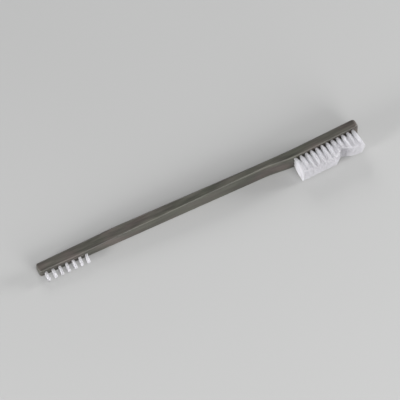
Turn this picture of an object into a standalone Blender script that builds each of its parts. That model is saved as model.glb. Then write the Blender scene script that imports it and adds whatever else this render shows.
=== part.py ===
"""Double-ended club groove brush, lying on its side.

One moulded handle carries two heads. The wide head has three rows of long nylon tufts, trimmed to a
profile with a notch and a rounded end lobe. The narrow head has one row of short tufts. Each tuft is
folded round a flat metal anchor and driven into its own blind hole.

Lengths are in millimetres until MM turns them into metres. The brush is drawn in its own axes:
    u  along the handle, from the narrow end to the wide end        -> local +X
    t  the way the tufts point                                      -> local -Y
    n  across the handle, from one side face to the other           -> local +Z
An empty then lays the brush on the long flat of its lower side face.
"""
import bpy
import math
from mathutils import Matrix, Vector

MM = 0.001

# ---- handle: driving sizes ----------------------------------------------------------------------
LENGTH = 178.0
EDGE_RADIUS = 0.8                       # rounding along the four long edges
EDGE_SEGMENTS = 3
BLEND = 4.0                             # half the length over which one straight run turns into the next
NARROW_END_ROUND = (0.8, 0.8, 0.8)      # along u, inset in t, inset in n
WIDE_END_ROUND = (2.2, 1.0, 2.2)
END_STEPS = 3

# straight runs of each outline, as (u, value)
BACK = [(0, 0.0), (42, -0.5), (120, 1.6), (142, 1.7), (LENGTH, 0.4)]
FRONT = [(0, 5.5), (28, 5.65), (38, 5.5), (127, 5.1), (140, 6.5), (LENGTH, 5.1)]
HALF_WIDTH = [(0, 2.65), (28, 3.1), (42, 3.66), (120, 5.5), (LENGTH, 5.5)]
REST_FLAT = (42, 120)                   # the side face's long straight taper, which the brush lies on
RINGS = [12, 24, 28, 32, 34, 38, 42, 46, 116, 120, 123, 125, 127, 129, 131, 136, 138, 140, 142, 144]

# ---- tuft holes and tufts -----------------------------------------------------------------------
SIDES = 12                              # sides of every hole and tuft
ROOT_CLEARANCE = 0.08                   # between a tuft and its hole, all round
HOLE_DEPTH = 3.0

WIDE_HEAD = {"first": 141.6, "pitch": 2.98, "count": 12, "rows": (3.15, 0.0, -3.15), "hole_radius": 0.82,
             "tip_radius": 1.28}
NARROW_HEAD = {"first": 2.9, "pitch": 3.72, "count": 7, "rows": (0.0,), "hole_radius": 0.82,
               "tip_radius": 0.95}

WIDE_TUFT_LENGTH = 9.5
NARROW_TUFT_LENGTH = 4.9
NOTCH_START = 160.6                     # the trimmed profile drops from here
NOTCH_BOTTOM = 163.8
NOTCH_DEPTH = 2.7
LOBE_TOP = 173.0                        # and is back at full length here
LOBE_END_START = 174.5                  # past this the lobe's corner is rounded off
LOBE_END_RADIUS = 3.0

# ---- anchors ------------------------------------------------------------------------------------
ANCHOR = (2.1, 0.3, 1.3)                # along u, across, along the tuft
ANCHOR_CLEARANCE = 0.06
FOLD_THICKNESS = 0.45                   # bristle that passes under the anchor, with its clearance

COLOURS = {
    "handle_plastic": ((0.118, 0.115, 0.100, 1.0), 0.45, 0.0),
    "nylon": ((0.78, 0.80, 0.84, 1.0), 0.40, 0.0),
    "anchor_metal": ((0.62, 0.50, 0.28, 1.0), 0.35, 1.0),
}


def clear_scene():
    for item in list(bpy.data.objects):
        bpy.data.objects.remove(item, do_unlink=True)


def material(name):
    colour, roughness, metallic = COLOURS[name]
    made = bpy.data.materials.new(name)
    made.use_nodes = True
    shader = made.node_tree.nodes["Principled BSDF"]
    shader.inputs["Base Color"].default_value = colour
    shader.inputs["Roughness"].default_value = roughness
    shader.inputs["Metallic"].default_value = metallic
    return made


def add_object(name, points, faces, finish, parent):
    """A named object from points in millimetres and faces that wind outward."""
    mesh = bpy.data.meshes.new(name)
    mesh.from_pydata([Vector(p) * MM for p in points], [], faces)
    mesh.validate()
    mesh.update()
    made = bpy.data.objects.new(name, mesh)
    bpy.context.collection.objects.link(made)
    made.parent = parent
    if finish is not None:
        mesh.materials.append(finish)
    return made


def straight(outline, u):
    """The outline's value at u, on straight lines between its points."""
    for (u0, v0), (u1, v1) in zip(outline, outline[1:]):
        if u <= u1:
            break
    return v0 + (v1 - v0) * (u - u0) / (u1 - u0)


def soft(outline, u):
    """The outline with each corner blended over 2 * BLEND, and the straight runs left as they are."""
    reach = min(BLEND, u, LENGTH - u)
    samples = 8
    total = sum(straight(outline, u + reach * (2 * k / samples - 1)) for k in range(samples + 1))
    return total / (samples + 1)


def section(u, inset_t=0.0, inset_n=0.0):
    """One ring of the handle: a rounded rectangle in t and n, counted anticlockwise seen from +u."""
    back = soft(BACK, u) + inset_t
    front = soft(FRONT, u) - inset_t
    half = soft(HALF_WIDTH, u) - inset_n
    corners = [(front, half, 0), (front, -half, 1), (back, -half, 2), (back, half, 3)]
    ring = []
    for t, n, quarter in corners:
        centre_t = t - EDGE_RADIUS if quarter in (0, 1) else t + EDGE_RADIUS
        centre_n = n - EDGE_RADIUS if quarter in (0, 3) else n + EDGE_RADIUS
        for step in range(EDGE_SEGMENTS + 1):
            angle = math.radians(90 - 90 * quarter - 90 * step / EDGE_SEGMENTS)
            t_here = centre_t + EDGE_RADIUS * math.cos(angle)
            n_here = centre_n + EDGE_RADIUS * math.sin(angle)
            ring.append((u, -t_here, n_here))
    return ring


def handle_rings():
    """Rings from the narrow end to the wide end, with both ends rounded off."""
    rings = []
    depth, inset_t, inset_n = NARROW_END_ROUND
    for step in range(END_STEPS + 1):
        angle = math.radians(90 * step / END_STEPS)
        away = 1 - math.sin(angle)
        rings.append(section(depth * (1 - math.cos(angle)), inset_t * away, inset_n * away))
    rings += [section(u) for u in RINGS]
    depth, inset_t, inset_n = WIDE_END_ROUND
    for step in range(END_STEPS, -1, -1):
        angle = math.radians(90 * step / END_STEPS)
        away = 1 - math.sin(angle)
        rings.append(section(LENGTH - depth * (1 - math.cos(angle)), inset_t * away, inset_n * away))
    return rings


def loft(rings):
    """Points and faces of a closed solid through rings of equal count."""
    points = [p for ring in rings for p in ring]
    count = len(rings[0])
    faces = [tuple(range(count))[::-1]]
    for r in range(len(rings) - 1):
        for k in range(count):
            a = r * count + k
            b = r * count + (k + 1) % count
            faces.append((a, b, b + count, a + count))
    last = (len(rings) - 1) * count
    faces.append(tuple(range(last, last + count)))
    return points, faces


def trim_length(u):
    """Free length of the wide head's bristles at u, which gives the trimmed profile."""
    if u <= NOTCH_START:
        drop = 0.0
    elif u <= NOTCH_BOTTOM:
        drop = NOTCH_DEPTH * (u - NOTCH_START) / (NOTCH_BOTTOM - NOTCH_START)
    elif u <= LOBE_TOP:
        part = (u - NOTCH_BOTTOM) / (LOBE_TOP - NOTCH_BOTTOM)
        drop = NOTCH_DEPTH * (1 - math.sin(math.radians(90 * part)))
    elif u <= LOBE_END_START:
        drop = 0.0
    else:
        past = min(u - LOBE_END_START, LOBE_END_RADIUS)
        drop = LOBE_END_RADIUS - math.sqrt(LOBE_END_RADIUS ** 2 - past ** 2)
    return WIDE_TUFT_LENGTH - drop


def tuft_places(head):
    """(row, number, matrix in millimetres) of each tuft: local z points out of the bristle face."""
    last = head["first"] + head["pitch"] * (head["count"] - 1)
    rise = soft(FRONT, last) - soft(FRONT, head["first"])
    lean = math.atan2(-rise, last - head["first"])
    outward = Vector((math.sin(lean), -math.cos(lean), 0.0))
    along = Vector((math.cos(lean), math.sin(lean), 0.0))
    across = outward.cross(along)
    for row, n in enumerate(head["rows"]):
        for number in range(head["count"]):
            u = head["first"] + head["pitch"] * number
            place = Matrix((along, across, outward)).transposed().to_4x4()
            place.translation = Vector((u, -soft(FRONT, u), n))
            yield row, number, place


def ring_points(radius, z):
    """A ring of the tuft's sides, with flats facing along and across the handle."""
    angles = [2 * math.pi * (k + 0.5) / SIDES for k in range(SIDES)]
    return [(radius * math.cos(angle), radius * math.sin(angle), z) for angle in angles]


def tuft_solid(head, u, length_at):
    """A tuft in its own axes: a straight root in the hole, opening out to its trimmed tip."""
    root = head["hole_radius"] - ROOT_CLEARANCE
    bottom = ring_points(root, -HOLE_DEPTH + ROOT_CLEARANCE)
    mouth = ring_points(root, 0.0)
    tip = [(x, y, length_at(u + x)) for x, y, _ in ring_points(head["tip_radius"], 0.0)]
    points = bottom + mouth + tip + [(0.0, 0.0, length_at(u))]
    faces = [tuple(range(SIDES))[::-1]]
    for r in range(2):
        for k in range(SIDES):
            a = r * SIDES + k
            b = r * SIDES + (k + 1) % SIDES
            faces.append((a, b, b + SIDES, a + SIDES))
    centre = 3 * SIDES
    for k in range(SIDES):
        faces.append((2 * SIDES + k, 2 * SIDES + (k + 1) % SIDES, centre))
    return points, faces


def box(size, centre_z):
    """Points and faces of a box centred on the tuft's axis."""
    x, y, z = (value / 2 for value in size)
    points = [(i * x, j * y, centre_z + k * z) for i in (-1, 1) for j in (-1, 1) for k in (-1, 1)]
    faces = [(0, 1, 3, 2), (4, 6, 7, 5), (0, 4, 5, 1), (2, 3, 7, 6), (0, 2, 6, 4), (1, 5, 7, 3)]
    return points, faces


def anchor_height():
    """Local z of an anchor's middle, just above the fold at the bottom of the hole."""
    return -HOLE_DEPTH + FOLD_THICKNESS + ANCHOR[2] / 2


def cutter(name, shape_of, parent):
    """One cutter that holds a separate solid at every tuft of both heads."""
    points = []
    faces = []
    for head in (WIDE_HEAD, NARROW_HEAD):
        shape_points, shape_faces = shape_of(head)
        for _, _, place in tuft_places(head):
            start = len(points)
            points += [place @ Vector(p) for p in shape_points]
            faces += [tuple(start + k for k in face) for face in shape_faces]
    made = add_object(name, points, faces, None, parent)
    made.hide_render = True
    made.display_type = "WIRE"
    return made


def hole_shape(head):
    """A blind hole that starts above the face and ends at its depth."""
    above = 1.0
    rings = [ring_points(head["hole_radius"], -HOLE_DEPTH), ring_points(head["hole_radius"], above)]
    return loft(rings)


def pocket_shape(head):
    """The slot that an anchor fills, through the tuft's root and into the hole's wall at both ends."""
    return box([value + 2 * ANCHOR_CLEARANCE for value in ANCHOR], anchor_height())


def subtract(target, tool):
    cut = target.modifiers.new(tool.name, "BOOLEAN")
    cut.operation = "DIFFERENCE"
    cut.solver = "EXACT"
    cut.object = tool


def place_object(item, place):
    """Set an object's location and rotation from a matrix in millimetres."""
    item.location = place.translation * MM
    item.rotation_euler = place.to_euler()


def build_handle(finish, holes, pockets, parent):
    points, faces = loft(handle_rings())
    handle = add_object("handle", points, faces, finish, parent)
    handle.data.shade_smooth()
    handle.data.set_sharp_from_angle(angle=math.radians(35))
    subtract(handle, holes)
    subtract(handle, pockets)


def build_tufts(finish, metal, pockets, parent):
    """Every tuft, and the narrow head's anchors."""
    for row, number, place in tuft_places(WIDE_HEAD):
        u = WIDE_HEAD["first"] + WIDE_HEAD["pitch"] * number
        points, faces = tuft_solid(WIDE_HEAD, u, trim_length)
        tuft = add_object("wide_tuft_{}{:02d}".format("abc"[row], number + 1), points, faces, finish, parent)
        place_object(tuft, place)
        subtract(tuft, pockets)
    for _, number, place in tuft_places(NARROW_HEAD):
        points, faces = tuft_solid(NARROW_HEAD, 0.0, lambda u: NARROW_TUFT_LENGTH)
        tuft = add_object("narrow_tuft_{}".format(number + 1), points, faces, finish, parent)
        place_object(tuft, place)
        subtract(tuft, pockets)
        points, faces = box(ANCHOR, anchor_height())
        anchor = add_object("narrow_anchor_{}".format(number + 1), points, faces, metal, parent)
        place_object(anchor, place)


def lay_on_side(frame):
    """Turn the brush so its lower side flat is level, then put the footprint's middle on the origin."""
    start, end = REST_FLAT
    taper = (straight(HALF_WIDTH, end) - straight(HALF_WIDTH, start)) / (end - start)
    frame.rotation_euler = (0.0, -math.atan(taper), 0.0)
    bpy.context.view_layer.update()
    depsgraph = bpy.context.evaluated_depsgraph_get()
    corners = []
    for item in bpy.data.objects:
        if item.type == "MESH" and not item.hide_render:
            evaluated = item.evaluated_get(depsgraph)
            corners += [evaluated.matrix_world @ vertex.co for vertex in evaluated.data.vertices]
    low = [min(c[axis] for c in corners) for axis in range(3)]
    high = [max(c[axis] for c in corners) for axis in range(3)]
    frame.location = (-(low[0] + high[0]) / 2, -(low[1] + high[1]) / 2, -low[2])
    bpy.context.view_layer.update()


def build():
    clear_scene()
    finishes = {name: material(name) for name in COLOURS}
    frame = bpy.data.objects.new("resting_frame", None)
    bpy.context.collection.objects.link(frame)
    holes = cutter("tuft_hole_cutter", hole_shape, frame)
    pockets = cutter("anchor_pocket_cutter", pocket_shape, frame)
    build_handle(finishes["handle_plastic"], holes, pockets, frame)
    build_tufts(finishes["nylon"], finishes["anchor_metal"], pockets, frame)
    lay_on_side(frame)


build()
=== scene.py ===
"""Looks for the double-ended club groove brush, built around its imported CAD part.

The CAD tufts are solid bundles. Here each one is made of nylon filaments, folded in half round a flat metal
anchor, opened out between their neighbours and trimmed to the head's profile. The handle has the CAD one's
shape, with finer rounding and chamfered holes. The wide head's anchors, which have no CAD nodes, are added.

Lengths are in millimetres in the brush's own axes, as in the CAD source:
    u  along the handle, from the narrow end to the wide end
    t  the way the tufts point, which is -y here
    n  across the handle
The meshes are turned and moved into the row frame as they are made. Only the stage is laid out in metres.
"""
import math
import random

import bpy
from mathutils import Matrix, Vector


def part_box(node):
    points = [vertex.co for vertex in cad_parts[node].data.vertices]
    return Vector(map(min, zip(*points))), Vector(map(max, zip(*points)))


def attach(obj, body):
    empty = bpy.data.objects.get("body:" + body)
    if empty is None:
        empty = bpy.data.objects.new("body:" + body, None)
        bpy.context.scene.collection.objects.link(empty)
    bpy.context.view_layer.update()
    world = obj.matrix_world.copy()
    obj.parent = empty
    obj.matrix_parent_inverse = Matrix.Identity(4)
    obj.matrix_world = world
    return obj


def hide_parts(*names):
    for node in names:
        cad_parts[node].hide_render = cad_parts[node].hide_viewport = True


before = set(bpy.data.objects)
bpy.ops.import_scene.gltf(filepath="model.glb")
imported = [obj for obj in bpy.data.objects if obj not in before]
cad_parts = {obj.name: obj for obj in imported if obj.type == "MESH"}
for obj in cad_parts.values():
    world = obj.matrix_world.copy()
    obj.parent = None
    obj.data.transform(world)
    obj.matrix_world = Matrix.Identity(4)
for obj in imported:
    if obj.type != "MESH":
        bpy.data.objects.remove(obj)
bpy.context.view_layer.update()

MM = 0.001

# ---- the handle's outlines and the tufts' places, as in the CAD source ---------------------------
LENGTH = 178.0
EDGE_RADIUS = 0.8
BLEND = 4.0                             # how far an outline's corner is blended on each side
NARROW_END_ROUND = (0.8, 0.8, 0.8)      # how far the end's rounding reaches in u, t and n
WIDE_END_ROUND = (2.2, 1.0, 2.2)
# t of the back and of the bristle face, and half the width in n, against u
BACK = [(0, 0.0), (42, -0.5), (120, 1.6), (142, 1.7), (LENGTH, 0.4)]
FRONT = [(0, 5.5), (28, 5.65), (38, 5.5), (127, 5.1), (140, 6.5), (LENGTH, 5.1)]
HALF_WIDTH = [(0, 2.65), (28, 3.1), (42, 3.66), (120, 5.5), (LENGTH, 5.5)]
REST_FLAT = (42, 120)                   # the tapered stretch that the brush lies on

WIDE_HEAD = {"name": "wide", "first": 141.6, "pitch": 2.98, "count": 12, "rows": (3.15, 0.0, -3.15),
             "hole_radius": 0.82}
NARROW_HEAD = {"name": "narrow", "first": 2.9, "pitch": 3.72, "count": 7, "rows": (0.0,),
               "hole_radius": 0.82}
HOLE_DEPTH = 3.0
WIDE_TUFT_LENGTH = 9.5
NARROW_TUFT_LENGTH = 4.9
NOTCH_START = 160.6
NOTCH_BOTTOM = 163.8
NOTCH_DEPTH = 2.7
LOBE_TOP = 173.0
LOBE_END_START = 174.5
LOBE_END_RADIUS = 3.0
ANCHOR = (2.1, 0.3, 1.3)                # along the row, across it, and into the hole
ANCHOR_CLEARANCE = 0.06
FOLD_THICKNESS = 0.45                   # from the hole's bottom to the anchor

# ---- finer detail of the handle and the anchors --------------------------------------------------
EDGE_STEPS = 8                          # segments in each rounded edge of the handle
END_STEPS = 7                           # segments in each rounded end
RING_PITCH = 2.0                        # between the rings along the handle
HOLE_SIDES = 24
HOLE_RIM = 0.08                         # the small chamfer at each hole's mouth
CUTTER_RISE = 1.0                       # how far a hole's cutter stands above the face
SHARP_EDGE_DEG = 35                     # edges that turn by more than this stay sharp
SHEARED_EDGE = 0.04                     # rounding of an anchor's edges

# ---- the filaments -------------------------------------------------------------------------------
FILAMENT_RADIUS = 0.06
FILAMENT_SIDES = 6
FILAMENT_GAP = 0.002                    # between neighbours at the hole's mouth
WALL_GAP = 0.005                        # from the filaments to the hole's wall, and to the anchor
FREE_STEPS = 5                          # segments along a filament's free length
OPENING = 0.45                          # below 1, filaments open out most near the hole
SHOULDER_DEPTH = 0.4                    # the rounded end's middle ring below the tip, in filament radii
SHOULDER_RADIUS = 0.9                   # that ring's radius, in filament radii
TIP_RADIUS = 0.5                        # and the last ring's
FOLD_STEPS = 4                          # segments round the fold under the anchor
FOLD_DEPTH = 0.12                       # how far the innermost filaments' fold hangs below the anchor
FOLD_LAYER = 0.08                       # and how much lower each further layer's fold hangs

# ---- how the tips are trimmed, spread and worn ---------------------------------------------------
TRIM_SCATTER = (-0.04, 0.02)            # least and most that a half filament is longer than the trim
NOTCH_WEAR = 0.5                        # the notch's slope has worn longer by this at each end
TRIM_END = 175.6                        # tips further on than this have spread since they were trimmed
NARROW_WEAR = 0.25                      # lost from the narrow head's free length
BOW_SCATTER = 0.025                     # standard deviation of a filament's sideways bow
TUFT_SCATTER = 0.05                     # of the shift that all the tips in one wide tuft share
WIDE_TIP_SCATTER = 0.03                 # of each wide tip's own shift
NARROW_TIP_SCATTER = 0.02               # and of each narrow tip's
NARROW_OPEN_OUT = 1.15                  # a narrow tuft's width at the tips, against its width at the hole
NARROW_OPEN_SCATTER = (-0.06, 0.08)     # least and most added to that for each filament half
NARROW_LEAN_DEG = (-2.0, -2.0, -3.5, -3.7, -2.8, -8.0, -8.4)        # below 0, to the narrow end
MINGLE_ALONG = 1.1                      # wide tips reach this far in half pitches, so that tufts mingle
MINGLE_ACROSS = 1.05                    # and this far in half row spacings
FIRST_COLUMN_REACH = 0.95               # of the tips beyond the first holes' middles, in the wide head
LAST_COLUMN_REACH = [(-4.7, 0.5), (-0.2, 2.85), (4.7, 1.35)]        # and beyond the last ones', against n

# Every tuft draws its own random numbers, from one of these and its row and number.
WIDE_SEED = 100
NARROW_SEED = 500
SHIFT_SEED = 900
SHIFT_SEED_ROW = 20


def straight(outline, u):
    """The outline's value at u, on straight lines between its points."""
    for (u0, v0), (u1, v1) in zip(outline, outline[1:]):
        if u <= u1:
            break
    return v0 + (v1 - v0) * (u - u0) / (u1 - u0)


def soft(outline, u):
    """The outline with each corner blended over 2 * BLEND."""
    reach = min(BLEND, u, LENGTH - u)
    samples = 8
    total = sum(straight(outline, u + reach * (2 * k / samples - 1)) for k in range(samples + 1))
    return total / (samples + 1)


def trim_length(u):
    """Free length of the wide head's bristles at u, which gives the trimmed profile."""
    start = NOTCH_START - NOTCH_WEAR
    bottom = NOTCH_BOTTOM + NOTCH_WEAR
    if u <= start:
        drop = 0.0
    elif u <= bottom:
        drop = NOTCH_DEPTH * (u - start) / (bottom - start)
    elif u <= LOBE_TOP:
        part = (u - bottom) / (LOBE_TOP - bottom)
        drop = NOTCH_DEPTH * (1 - math.sin(math.radians(90 * part)))
    elif u <= LOBE_END_START:
        drop = 0.0
    else:
        past = min(u - LOBE_END_START, LOBE_END_RADIUS)
        drop = LOBE_END_RADIUS - math.sqrt(LOBE_END_RADIUS ** 2 - past ** 2)
    return WIDE_TUFT_LENGTH - drop


def tuft_places(head):
    """(row, number, matrix in millimetres) of each tuft: local z points out of the bristle face."""
    last = head["first"] + head["pitch"] * (head["count"] - 1)
    rise = soft(FRONT, last) - soft(FRONT, head["first"])
    lean = math.atan2(-rise, last - head["first"])
    outward = Vector((math.sin(lean), -math.cos(lean), 0.0))
    along = Vector((math.cos(lean), math.sin(lean), 0.0))
    across = outward.cross(along)
    for row, n in enumerate(head["rows"]):
        for number in range(head["count"]):
            u = head["first"] + head["pitch"] * number
            place = Matrix((along, across, outward)).transposed().to_4x4()
            place.translation = Vector((u, -soft(FRONT, u), n))
            yield row, number, place


def tuft_tag(head, row, number):
    """The end of a tuft's name: its number, after its row's letter where there are several rows."""
    if len(head["rows"]) == 1:
        return str(number + 1)
    return "{}{:02d}".format("abc"[row], number + 1)


def anchor_height():
    """Local z of an anchor's middle, just above the fold at the bottom of the hole."""
    return -HOLE_DEPTH + FOLD_THICKNESS + ANCHOR[2] / 2


def brush_to_row():
    """Matrix from the brush's own axes in millimetres to the row frame in metres."""
    start, end = REST_FLAT
    taper = (straight(HALF_WIDTH, end) - straight(HALF_WIDTH, start)) / (end - start)
    turn = Matrix.Rotation(-math.atan(taper), 4, "Y") @ Matrix.Scale(MM, 4)
    _, _, first = next(tuft_places(NARROW_HEAD))
    low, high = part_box("narrow_anchor_1")
    move = (low + high) / 2 - turn @ (first @ Vector((0, 0, anchor_height())))
    return Matrix.Translation(move) @ turn


TO_ROW = brush_to_row()


# ---- meshes -------------------------------------------------------------------------------------
def new_object(name, data):
    """An object in the scene, at the origin."""
    made = bpy.data.objects.new(name, data)
    bpy.context.scene.collection.objects.link(made)
    return made


def new_piece(name, points, faces, finish, replaced):
    """A piece from points in the brush's axes, on the one body, in place of the CAD nodes in replaced."""
    mesh = bpy.data.meshes.new(name)
    mesh.from_pydata([TO_ROW @ Vector(p) for p in points], [], faces)
    mesh.validate()
    mesh.update()
    mesh.materials.append(finish)
    piece = new_object(name, mesh)
    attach(piece, "root")
    if replaced:
        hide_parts(*replaced)
    return piece


def loft(rings):
    """Points and faces of a closed solid through rings of equal count."""
    points = [p for ring in rings for p in ring]
    count = len(rings[0])
    faces = [tuple(range(count))[::-1]]
    for r in range(len(rings) - 1):
        for k in range(count):
            a = r * count + k
            b = r * count + (k + 1) % count
            faces.append((a, b, b + count, a + count))
    last = (len(rings) - 1) * count
    faces.append(tuple(range(last, last + count)))
    return points, faces


def box(size, centre_z):
    """Points and faces of a box with its middle on the local z axis."""
    x, y, z = (value / 2 for value in size)
    points = [(i * x, j * y, centre_z + k * z) for i in (-1, 1) for j in (-1, 1) for k in (-1, 1)]
    faces = [(0, 1, 3, 2), (4, 6, 7, 5), (0, 4, 5, 1), (2, 3, 7, 6), (0, 2, 6, 4), (1, 5, 7, 3)]
    return points, faces


# ---- handle -------------------------------------------------------------------------------------
def section(u, inset_t=0.0, inset_n=0.0):
    """One ring of the handle: a rounded rectangle in t and n, drawn in by the insets."""
    back = soft(BACK, u) + inset_t
    front = soft(FRONT, u) - inset_t
    half = soft(HALF_WIDTH, u) - inset_n
    corners = [(front, half, 0), (front, -half, 1), (back, -half, 2), (back, half, 3)]
    ring = []
    for t, n, quarter in corners:
        centre_t = t - EDGE_RADIUS if quarter in (0, 1) else t + EDGE_RADIUS
        centre_n = n - EDGE_RADIUS if quarter in (0, 3) else n + EDGE_RADIUS
        for step in range(EDGE_STEPS + 1):
            angle = math.radians(90 - 90 * quarter - 90 * step / EDGE_STEPS)
            t_here = centre_t + EDGE_RADIUS * math.cos(angle)
            n_here = centre_n + EDGE_RADIUS * math.sin(angle)
            ring.append((u, -t_here, n_here))
    return ring


def end_rings(rounding, u_at):
    """Rings of a rounded end, from its tip inwards; u_at gives the place at a distance from the tip."""
    depth, inset_t, inset_n = rounding
    rings = []
    for step in range(END_STEPS + 1):
        angle = math.radians(90 * step / END_STEPS)
        away = 1 - math.sin(angle)
        rings.append(section(u_at(depth * (1 - math.cos(angle))), inset_t * away, inset_n * away))
    return rings


def handle_rings():
    """Rings of the whole handle, from the narrow end to the wide end."""
    start = NARROW_END_ROUND[0]
    end = LENGTH - WIDE_END_ROUND[0]
    count = round((end - start) / RING_PITCH)
    rings = end_rings(NARROW_END_ROUND, lambda distance: distance)
    rings += [section(start + (end - start) * k / count) for k in range(1, count)]
    rings += end_rings(WIDE_END_ROUND, lambda distance: LENGTH - distance)[::-1]
    return rings


def hole_ring(radius, z):
    """One ring of a hole's cutter, round the local z axis."""
    ring = []
    for k in range(HOLE_SIDES):
        angle = 2 * math.pi / HOLE_SIDES * (k + 0.5)
        ring.append((radius * math.cos(angle), radius * math.sin(angle), z))
    return ring


def hole_shape(head):
    """A blind hole, carried on above the face. The cone that cuts the chamfer at its mouth runs as far
    above the face as below it."""
    radius = head["hole_radius"]
    flared = radius + 2 * HOLE_RIM
    return loft([hole_ring(radius, -HOLE_DEPTH), hole_ring(radius, -HOLE_RIM),
                 hole_ring(flared, HOLE_RIM), hole_ring(flared, CUTTER_RISE)])


def pocket_shape(head):
    """The slot that an anchor is driven into, the same in both heads."""
    return box([value + 2 * ANCHOR_CLEARANCE for value in ANCHOR], anchor_height())


def cutter(name, shape_of):
    """One throwaway object that holds a separate solid at every tuft of both heads."""
    points = []
    faces = []
    for head in (WIDE_HEAD, NARROW_HEAD):
        shape_points, shape_faces = shape_of(head)
        for _, _, place in tuft_places(head):
            start = len(points)
            points += [TO_ROW @ (place @ Vector(p)) for p in shape_points]
            faces += [tuple(start + k for k in face) for face in shape_faces]
    mesh = bpy.data.meshes.new(name)
    mesh.from_pydata(points, [], faces)
    return new_object(name, mesh)


def build_handle(finish):
    """The handle moulding, with its holes and anchor slots cut into the mesh."""
    points, faces = loft(handle_rings())
    handle = new_piece("handle_moulding", points, faces, finish, ["handle"])
    cutters = [cutter("hole_cutter", hole_shape), cutter("pocket_cutter", pocket_shape)]
    for tool in cutters:
        cut = handle.modifiers.new(tool.name, "BOOLEAN")
        cut.operation = "DIFFERENCE"
        cut.solver = "EXACT"
        cut.object = tool
    bpy.context.view_layer.update()
    depsgraph = bpy.context.evaluated_depsgraph_get()
    mesh = bpy.data.meshes.new_from_object(handle.evaluated_get(depsgraph))
    handle.modifiers.clear()
    handle.data = mesh
    for tool in cutters:
        bpy.data.objects.remove(tool, do_unlink=True)
    mesh.shade_smooth()
    mesh.set_sharp_from_angle(angle=math.radians(SHARP_EDGE_DEG))
    weighted = handle.modifiers.new("flat_faces_shade_flat", "WEIGHTED_NORMAL")
    weighted.keep_sharp = True
    weighted.weight = 100               # the largest faces decide


# ---- filaments ----------------------------------------------------------------------------------
def root_places(radius):
    """(x, y, layer) of the filaments on one side of the anchor, in layers that step away from it."""
    reach = radius - FILAMENT_RADIUS - WALL_GAP
    pitch = 2 * FILAMENT_RADIUS + FILAMENT_GAP
    most = math.ceil(reach / pitch)
    y = ANCHOR[1] / 2 + FILAMENT_RADIUS + WALL_GAP
    layer = 0
    places = []
    while y <= reach:
        half = math.sqrt(reach ** 2 - y ** 2)
        offset = 0.0 if layer % 2 else 0.5
        columns = [k + offset for k in range(-most, most)]
        places += [(c * pitch, y, layer) for c in columns if abs(c * pitch) <= half]
        y += pitch * math.sqrt(3) / 2
        layer += 1
    return places


def tube(path, radii):
    """Rings of a filament round its path."""
    rings = []
    side = Vector((1.0, 0.0, 0.0))
    for k, point in enumerate(path):
        ahead = path[min(k + 1, len(path) - 1)] - path[max(k - 1, 0)]
        ahead.normalize()
        side = (side - ahead * side.dot(ahead)).normalized()
        other = ahead.cross(side)
        ring = []
        for s in range(FILAMENT_SIDES):
            angle = 2 * math.pi * s / FILAMENT_SIDES
            ring.append(point + (side * math.cos(angle) + other * math.sin(angle)) * radii[k])
        rings.append(ring)
    return rings


def free_part(root, tip, bow):
    """Points above the hole's mouth, up to the tip: opening out with a slight bow, then the rounded end."""
    rise = tip - root
    points = []
    for step in range(1, FREE_STEPS + 1):
        part = step / FREE_STEPS
        opened = part ** OPENING
        point = root + Vector((rise.x * opened, rise.y * opened, rise.z * part))
        point += bow * math.sin(math.pi * part)
        points.append(point)
    end = (points[-1] - points[-2]).normalized()
    points[-1] = tip - end * FILAMENT_RADIUS
    points += [tip - end * FILAMENT_RADIUS * SHOULDER_DEPTH, tip]
    return points


def filament_path(x, y, layer, tips, bows):
    """One filament folded in half under the anchor: its points and radii from one tip to the other."""
    fold_top = -HOLE_DEPTH + FOLD_THICKNESS
    fold_depth = FOLD_DEPTH + FOLD_LAYER * layer
    halves = []
    for sign, tip, bow in ((1, tips[0], bows[0]), (-1, tips[1], bows[1])):
        mouth = Vector((x, sign * y, 0.0))
        free = free_part(mouth, tip, bow)
        halves.append([Vector((x, sign * y, fold_top)), mouth] + free)
    fold = []
    for step in range(1, FOLD_STEPS):
        angle = math.pi * step / FOLD_STEPS
        fold.append(Vector((x, y * math.cos(angle), fold_top - fold_depth * math.sin(angle))))
    path = halves[0][::-1] + fold + halves[1]
    radii = [FILAMENT_RADIUS] * len(path)
    radii[0] = radii[-1] = FILAMENT_RADIUS * TIP_RADIUS
    radii[1] = radii[-2] = FILAMENT_RADIUS * SHOULDER_RADIUS
    return path, radii


def tuft_filaments(head, place, spread, length_at, lean, seed):
    """A tuft's points in the brush's axes, its faces, and for each point the values that the nylon reads.

    spread(x, y, draw) gives a tip's (x, y) from its root's, and length_at(x) the trimmed length at a tip.
    """
    draw = random.Random(seed)
    points = []
    faces = []
    heights = []
    depths = []
    for x, y, layer in root_places(head["hole_radius"]):
        tips = []
        bows = []
        for sign in (1, -1):
            tip_x, tip_y = spread(x, sign * y, draw)
            length = length_at(tip_x) + draw.uniform(*TRIM_SCATTER)
            tips.append(Vector((tip_x + lean * length, tip_y, length)))
            bows.append(Vector((draw.gauss(0, BOW_SCATTER), draw.gauss(0, BOW_SCATTER), 0.0)))
        path, radii = filament_path(x, y, layer, tips, bows)
        shape_points, shape_faces = loft(tube(path, radii))
        start = len(points)
        points += [place @ p for p in shape_points]
        heights += [p.z for p in shape_points]
        depths += [length - p.z for p in shape_points]      # the two halves are nearly the same length
        faces += [tuple(start + k for k in face) for face in shape_faces]
    return points, faces, {"height_above_face": heights, "depth_below_tip": depths}


def new_tuft(name, filaments, finish, replaced):
    """A piece from tuft_filaments, with its values for each point."""
    points, faces, values = filaments
    piece = new_piece(name, points, faces, finish, [replaced])
    piece.data.shade_smooth()
    for label, per_point in values.items():
        piece.data.attributes.new(label, "FLOAT", "POINT").data.foreach_set("value", per_point)


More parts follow.
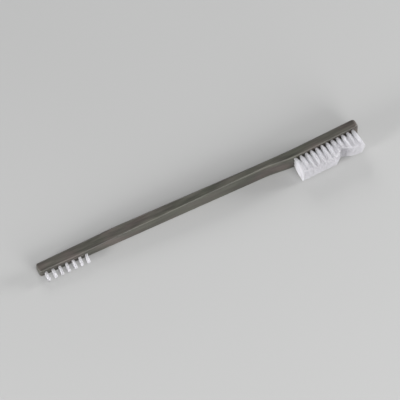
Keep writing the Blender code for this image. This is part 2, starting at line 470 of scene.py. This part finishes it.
def even_square(x, y):
    """A point of the unit disc moved to the square round it, so that equal areas stay equal."""
    reach = math.hypot(x, y)
    if reach == 0:
        return x, y
    if abs(x) >= abs(y):
        return math.copysign(reach, x), reach * math.atan2(y, abs(x)) / (math.pi / 4)
    return reach * math.atan2(x, abs(y)) / (math.pi / 4), math.copysign(reach, y)


def wide_spread(row, number):
    """How one of the wide head's tufts opens out: its tips fill the space between its neighbours."""
    reach = WIDE_HEAD["hole_radius"] - FILAMENT_RADIUS
    split = ANCHOR[1] / 2
    shared = WIDE_HEAD["pitch"] / 2 * MINGLE_ALONG
    left = FIRST_COLUMN_REACH if number == 0 else shared
    is_last = number == WIDE_HEAD["count"] - 1
    half_row = WIDE_HEAD["rows"][0] / 2
    draw_shift = random.Random(SHIFT_SEED + SHIFT_SEED_ROW * row + number)
    shift_x = draw_shift.gauss(0, TUFT_SCATTER)
    shift_y = draw_shift.gauss(0, TUFT_SCATTER)

    def spread(x, y, draw):
        beyond = max(abs(y) - split, 0.0) / (reach - split)
        along, over = even_square(x / reach, math.copysign(beyond, y))
        over *= half_row * MINGLE_ACROSS
        right = straight(LAST_COLUMN_REACH, WIDE_HEAD["rows"][row] + over) if is_last else shared
        along *= right if along > 0 else left
        tip_x = along + shift_x + draw.gauss(0, WIDE_TIP_SCATTER)
        tip_y = over + shift_y + draw.gauss(0, WIDE_TIP_SCATTER)
        return tip_x, tip_y
    return spread


def narrow_spread(x, y, draw):
    """How the narrow head's tufts open out: only a little, since they stand apart."""
    open_out = NARROW_OPEN_OUT + draw.uniform(*NARROW_OPEN_SCATTER)
    tip_x = x * open_out + draw.gauss(0, NARROW_TIP_SCATTER)
    tip_y = y * open_out + draw.gauss(0, NARROW_TIP_SCATTER)
    return tip_x, tip_y


def build_tufts(finish):
    """Filaments in place of every CAD tuft."""
    for row, number, place in tuft_places(WIDE_HEAD):
        u = WIDE_HEAD["first"] + WIDE_HEAD["pitch"] * number
        tag = tuft_tag(WIDE_HEAD, row, number)
        filaments = tuft_filaments(WIDE_HEAD, place, wide_spread(row, number),
                                   length_at=lambda x: trim_length(min(u + x, TRIM_END)),
                                   lean=0.0, seed=WIDE_SEED * (row + 1) + number)
        new_tuft("wide_bristles_" + tag, filaments, finish, "wide_tuft_" + tag)
    for row, number, place in tuft_places(NARROW_HEAD):
        tag = tuft_tag(NARROW_HEAD, row, number)
        lean = math.tan(math.radians(NARROW_LEAN_DEG[number]))
        filaments = tuft_filaments(NARROW_HEAD, place, narrow_spread,
                                   length_at=lambda x: NARROW_TUFT_LENGTH - NARROW_WEAR,
                                   lean=lean, seed=NARROW_SEED + number)
        new_tuft("narrow_bristles_" + tag, filaments, finish, "narrow_tuft_" + tag)


def build_anchors(finish):
    """A flat plate cut from wire for each tuft. The wide head's ones have no CAD node."""
    for head in (WIDE_HEAD, NARROW_HEAD):
        for row, number, place in tuft_places(head):
            tag = tuft_tag(head, row, number)
            replaced = ["narrow_anchor_" + tag] if head is NARROW_HEAD else []
            points, faces = box(ANCHOR, anchor_height())
            points = [place @ Vector(p) for p in points]
            name = head["name"] + "_plate_" + tag
            piece = new_piece(name, points, faces, finish, replaced)
            sheared = piece.modifiers.new("sheared_edges", "BEVEL")
            sheared.width = SHEARED_EDGE * MM
            sheared.segments = 2


# ---- materials ----------------------------------------------------------------------------------
SHADED_ROOT = 4.3                       # painted shade darkens the filaments this far up from the face
SHADED_END = 3.0                        # and painted shade darkens them this far down from the tip


def new_material(name):
    """A material, its nodes, its links and its Principled BSDF."""
    made = bpy.data.materials.new(name)
    made.use_nodes = True
    nodes = made.node_tree.nodes
    return made, nodes, made.node_tree.links, nodes["Principled BSDF"]


def stretched_noise(nodes, links, scale, detail, stretch=(1.0, 1.0, 1.0)):
    """Noise over the object, with features of about 1 / scale metres, longer where stretch is small."""
    coordinates = nodes.new("ShaderNodeTexCoord")
    mapping = nodes.new("ShaderNodeMapping")
    mapping.inputs["Scale"].default_value = stretch
    noise = nodes.new("ShaderNodeTexNoise")
    noise.inputs["Scale"].default_value = scale
    noise.inputs["Detail"].default_value = detail
    links.new(coordinates.outputs["Object"], mapping.inputs["Vector"])
    links.new(mapping.outputs["Vector"], noise.inputs["Vector"])
    return noise.outputs["Fac"]


def attribute(nodes, name):
    """A value that the mesh holds at each point."""
    made = nodes.new("ShaderNodeAttribute")
    made.attribute_name = name
    return made.outputs["Fac"]


def grey(value):
    """A colour without a tint, or a plain factor where colours are multiplied."""
    return (value, value, value)


def ramp(nodes, links, source, stops):
    """Colours against a value, from (position, colour) stops."""
    made = nodes.new("ShaderNodeValToRGB")
    elements = made.color_ramp.elements
    while len(elements) < len(stops):
        elements.new(0.5)
    for element, (position, colour) in zip(elements, stops):
        element.position = position
        element.color = (*colour, 1.0)
    links.new(source, made.inputs["Fac"])
    return made.outputs["Color"]


def to_range(nodes, links, source, low, high, span=(0.3, 0.7)):
    """The value moved from the span it has, which for noise is the middle of 0 to 1, to low..high."""
    made = nodes.new("ShaderNodeMapRange")
    made.inputs["From Min"].default_value = span[0]
    made.inputs["From Max"].default_value = span[1]
    made.inputs["To Min"].default_value = low
    made.inputs["To Max"].default_value = high
    links.new(source, made.inputs["Value"])
    return made.outputs["Result"]


def multiplied(nodes, links, a, b):
    """The product of two colours."""
    made = nodes.new("ShaderNodeMix")
    made.data_type = "RGBA"
    made.blend_type = "MULTIPLY"
    made.inputs["Factor"].default_value = 1.0
    links.new(a, made.inputs["A"])
    links.new(b, made.inputs["B"])
    return made.outputs["Result"]


def bump(nodes, links, source, strength, distance, normal=None):
    """The surface raised by the value, by up to distance in metres, on top of another bump's normal."""
    made = nodes.new("ShaderNodeBump")
    made.inputs["Strength"].default_value = strength
    made.inputs["Distance"].default_value = distance
    links.new(source, made.inputs["Height"])
    if normal is not None:
        links.new(normal, made.inputs["Normal"])
    return made.outputs["Normal"]


def handle_plastic():
    """Satin moulded plastic: warm and greenish grey patches, flow streaks along it, fine scuffs."""
    made, nodes, links, shader = new_material("handle_satin_plastic")
    patches = stretched_noise(nodes, links, scale=150, detail=3, stretch=(0.35, 1.0, 1.0))
    bands = stretched_noise(nodes, links, scale=600, detail=3, stretch=(0.10, 1.0, 1.0))
    streaks = stretched_noise(nodes, links, scale=1500, detail=4, stretch=(0.06, 1.0, 1.0))
    grain = stretched_noise(nodes, links, scale=2600, detail=3)
    scuffs = stretched_noise(nodes, links, scale=1400, detail=5, stretch=(0.05, 1.0, 1.0))

    colour = ramp(nodes, links, patches,
                  [(0.35, (0.057, 0.0575, 0.0435)), (0.52, (0.065, 0.0605, 0.050)),
                   (0.68, (0.079, 0.064, 0.057))])
    band_shade = ramp(nodes, links, bands, [(0.36, grey(0.76)), (0.64, grey(1.24))])
    colour = multiplied(nodes, links, colour, band_shade)
    streak_shade = ramp(nodes, links, streaks, [(0.36, grey(0.78)), (0.64, grey(1.21))])
    colour = multiplied(nodes, links, colour, streak_shade)
    links.new(colour, shader.inputs["Base Color"])
    links.new(to_range(nodes, links, streaks, low=0.36, high=0.50), shader.inputs["Roughness"])
    normal = bump(nodes, links, grain, strength=0.35, distance=0.00003)
    normal = bump(nodes, links, scuffs, strength=0.3, distance=0.00004, normal=normal)
    links.new(normal, shader.inputs["Normal"])
    return made


def nylon():
    """White nylon filament: slightly bluish, each one a little different, with painted shade near its root
    and tip.
    """
    made, nodes, links, shader = new_material("white_nylon_filament")
    geometry = nodes.new("ShaderNodeNewGeometry")
    height = attribute(nodes, "height_above_face")
    height = to_range(nodes, links, height, low=0.0, high=1.0, span=(0.0, SHADED_ROOT))
    depth = attribute(nodes, "depth_below_tip")
    depth = to_range(nodes, links, depth, low=0.0, high=1.0, span=(0.0, SHADED_END))
    cloud = stretched_noise(nodes, links, scale=1500, detail=2)

    colour = ramp(nodes, links, geometry.outputs["Random Per Island"],
                  [(0.0, (0.825, 0.815, 0.845)), (1.0, (0.895, 0.885, 0.915))])
    # painted shade near the root, where the face and the crowded tufts shut out the light
    painted_root_shade = ramp(nodes, links, height,
                      [(0.0, (0.46, 0.46, 0.45)), (0.22, (0.74, 0.74, 0.73)), (0.58, grey(0.92)),
                       (1.0, grey(1.0))])
    colour = multiplied(nodes, links, colour, painted_root_shade)
    # painted shade towards the cut end, dulling the tips that face the front light
    painted_tip_shade = ramp(nodes, links, depth, [(0.0, grey(0.78)), (0.3, grey(0.91)), (1.0, grey(1.0))])
    colour = multiplied(nodes, links, colour, painted_tip_shade)
    links.new(colour, shader.inputs["Base Color"])
    links.new(to_range(nodes, links, cloud, low=0.28, high=0.42), shader.inputs["Roughness"])
    shader.inputs["Sheen Weight"].default_value = 0.15
    return made


def anchor_metal():
    """Drawn brass strip with fine lines along it."""
    made, nodes, links, shader = new_material("drawn_brass_strip")
    lines = stretched_noise(nodes, links, scale=9000, detail=3, stretch=(0.08, 1.0, 1.0))
    colour = ramp(nodes, links, lines, [(0.3, (0.50, 0.38, 0.18)), (0.7, (0.72, 0.58, 0.32))])
    links.new(colour, shader.inputs["Base Color"])
    links.new(to_range(nodes, links, lines, low=0.25, high=0.42), shader.inputs["Roughness"])
    shader.inputs["Metallic"].default_value = 1.0
    links.new(bump(nodes, links, lines, strength=0.3, distance=0.00001), shader.inputs["Normal"])
    return made


def floor_paint():
    """Plain pale paint, very slightly clouded."""
    made, nodes, links, shader = new_material("pale_floor")
    cloud = stretched_noise(nodes, links, scale=3, detail=2)
    colour = ramp(nodes, links, cloud, [(0.3, (0.485, 0.485, 0.48)), (0.7, (0.505, 0.505, 0.50))])
    links.new(colour, shader.inputs["Base Color"])
    shader.inputs["Roughness"].default_value = 0.7
    return made


# ---- stage --------------------------------------------------------------------------------------
FLOOR_HALF = 6.0                        # metres
WORLD_COLOUR = (0.95, 0.97, 1.0, 1.0)
WORLD_STRENGTH = 0.22
LIGHTS = [                              # name, place and diameter in metres, power in watts
    ("front_key", (0.2, -0.85, 0.32), 0.6, 5.7),
    ("left_fill", (-0.8, -0.15, 0.14), 0.3, 8.0),
    ("right_fill", (0.8, -0.1, 0.16), 0.3, 6.5),
    ("top_fill", (-0.1, -0.3, 0.85), 0.4, 1.7),
    ("back_rim", (0.1, 0.8, 0.5), 0.5, 2.5),
]

VIEW_ELEVATION_DEG = 62.0               # above the handle's middle plane
VIEW_HEADING_DEG = 27.084               # of the handle's length against the picture's width
CAMERA_DISTANCE = 3000.0                # this and the next two are in millimetres
PICTURE_WIDTH = 199.4                   # of what the picture takes in, at the brush
PICTURE_CENTRE = (81.36, 32.70)         # right of and above the handle's narrow end, in the picture's plane
SENSOR_WIDTH = 36.0


def build_floor():
    """A wide flat floor at z = 0."""
    mesh = bpy.data.meshes.new("floor")
    corners = [(x * FLOOR_HALF, y * FLOOR_HALF, 0.0) for x, y in ((-1, -1), (1, -1), (1, 1), (-1, 1))]
    mesh.from_pydata(corners, [], [(0, 1, 2, 3)])
    mesh.materials.append(floor_paint())
    floor = new_object("floor", mesh)


def build_lights():
    """Round area lights in a dim studio, each one aimed at the origin, under the brush's middle."""
    bpy.context.scene.view_settings.view_transform = "Standard"
    world = bpy.context.scene.world or bpy.data.worlds.new("studio")
    bpy.context.scene.world = world
    world.use_nodes = True
    background = world.node_tree.nodes["Background"]
    background.inputs["Color"].default_value = WORLD_COLOUR
    background.inputs["Strength"].default_value = WORLD_STRENGTH
    for name, place, diameter, power in LIGHTS:
        data = bpy.data.lights.new(name, "AREA")
        data.shape = "DISK"
        data.size = diameter
        data.energy = power
        light = new_object(name, data)
        light.location = place
        light.rotation_mode = "QUATERNION"
        light.rotation_quaternion = (-Vector(place)).to_track_quat("-Z", "Y")


def build_camera():
    """A long lens from the fitted direction, with the brush where the picture has it."""
    heading = math.radians(VIEW_HEADING_DEG)
    tilt = math.radians(VIEW_ELEVATION_DEG)
    right = Vector((math.cos(heading), -math.sin(heading), 0.0))
    up = Vector((math.sin(heading) * math.sin(tilt), math.cos(heading) * math.sin(tilt), math.cos(tilt)))
    towards = right.cross(up)
    middle_depth = towards.x * LENGTH / 2
    centre = right * PICTURE_CENTRE[0] + up * PICTURE_CENTRE[1] + towards * middle_depth
    turn = TO_ROW.to_3x3().normalized()
    axes = Matrix((turn @ right, turn @ up, turn @ towards)).transposed()
    data = bpy.data.cameras.new("photo_view")
    data.sensor_width = SENSOR_WIDTH
    data.lens = SENSOR_WIDTH * CAMERA_DISTANCE / PICTURE_WIDTH
    data.clip_start = 0.1
    data.clip_end = 20.0
    camera = new_object("photo_view", data)
    camera.location = TO_ROW @ (centre + towards * CAMERA_DISTANCE)
    camera.rotation_mode = "QUATERNION"
    camera.rotation_quaternion = axes.to_quaternion()
    bpy.context.scene.camera = camera


build_camera()
build_lights()
build_floor()
build_handle(handle_plastic())
build_tufts(nylon())
build_anchors(anchor_metal())
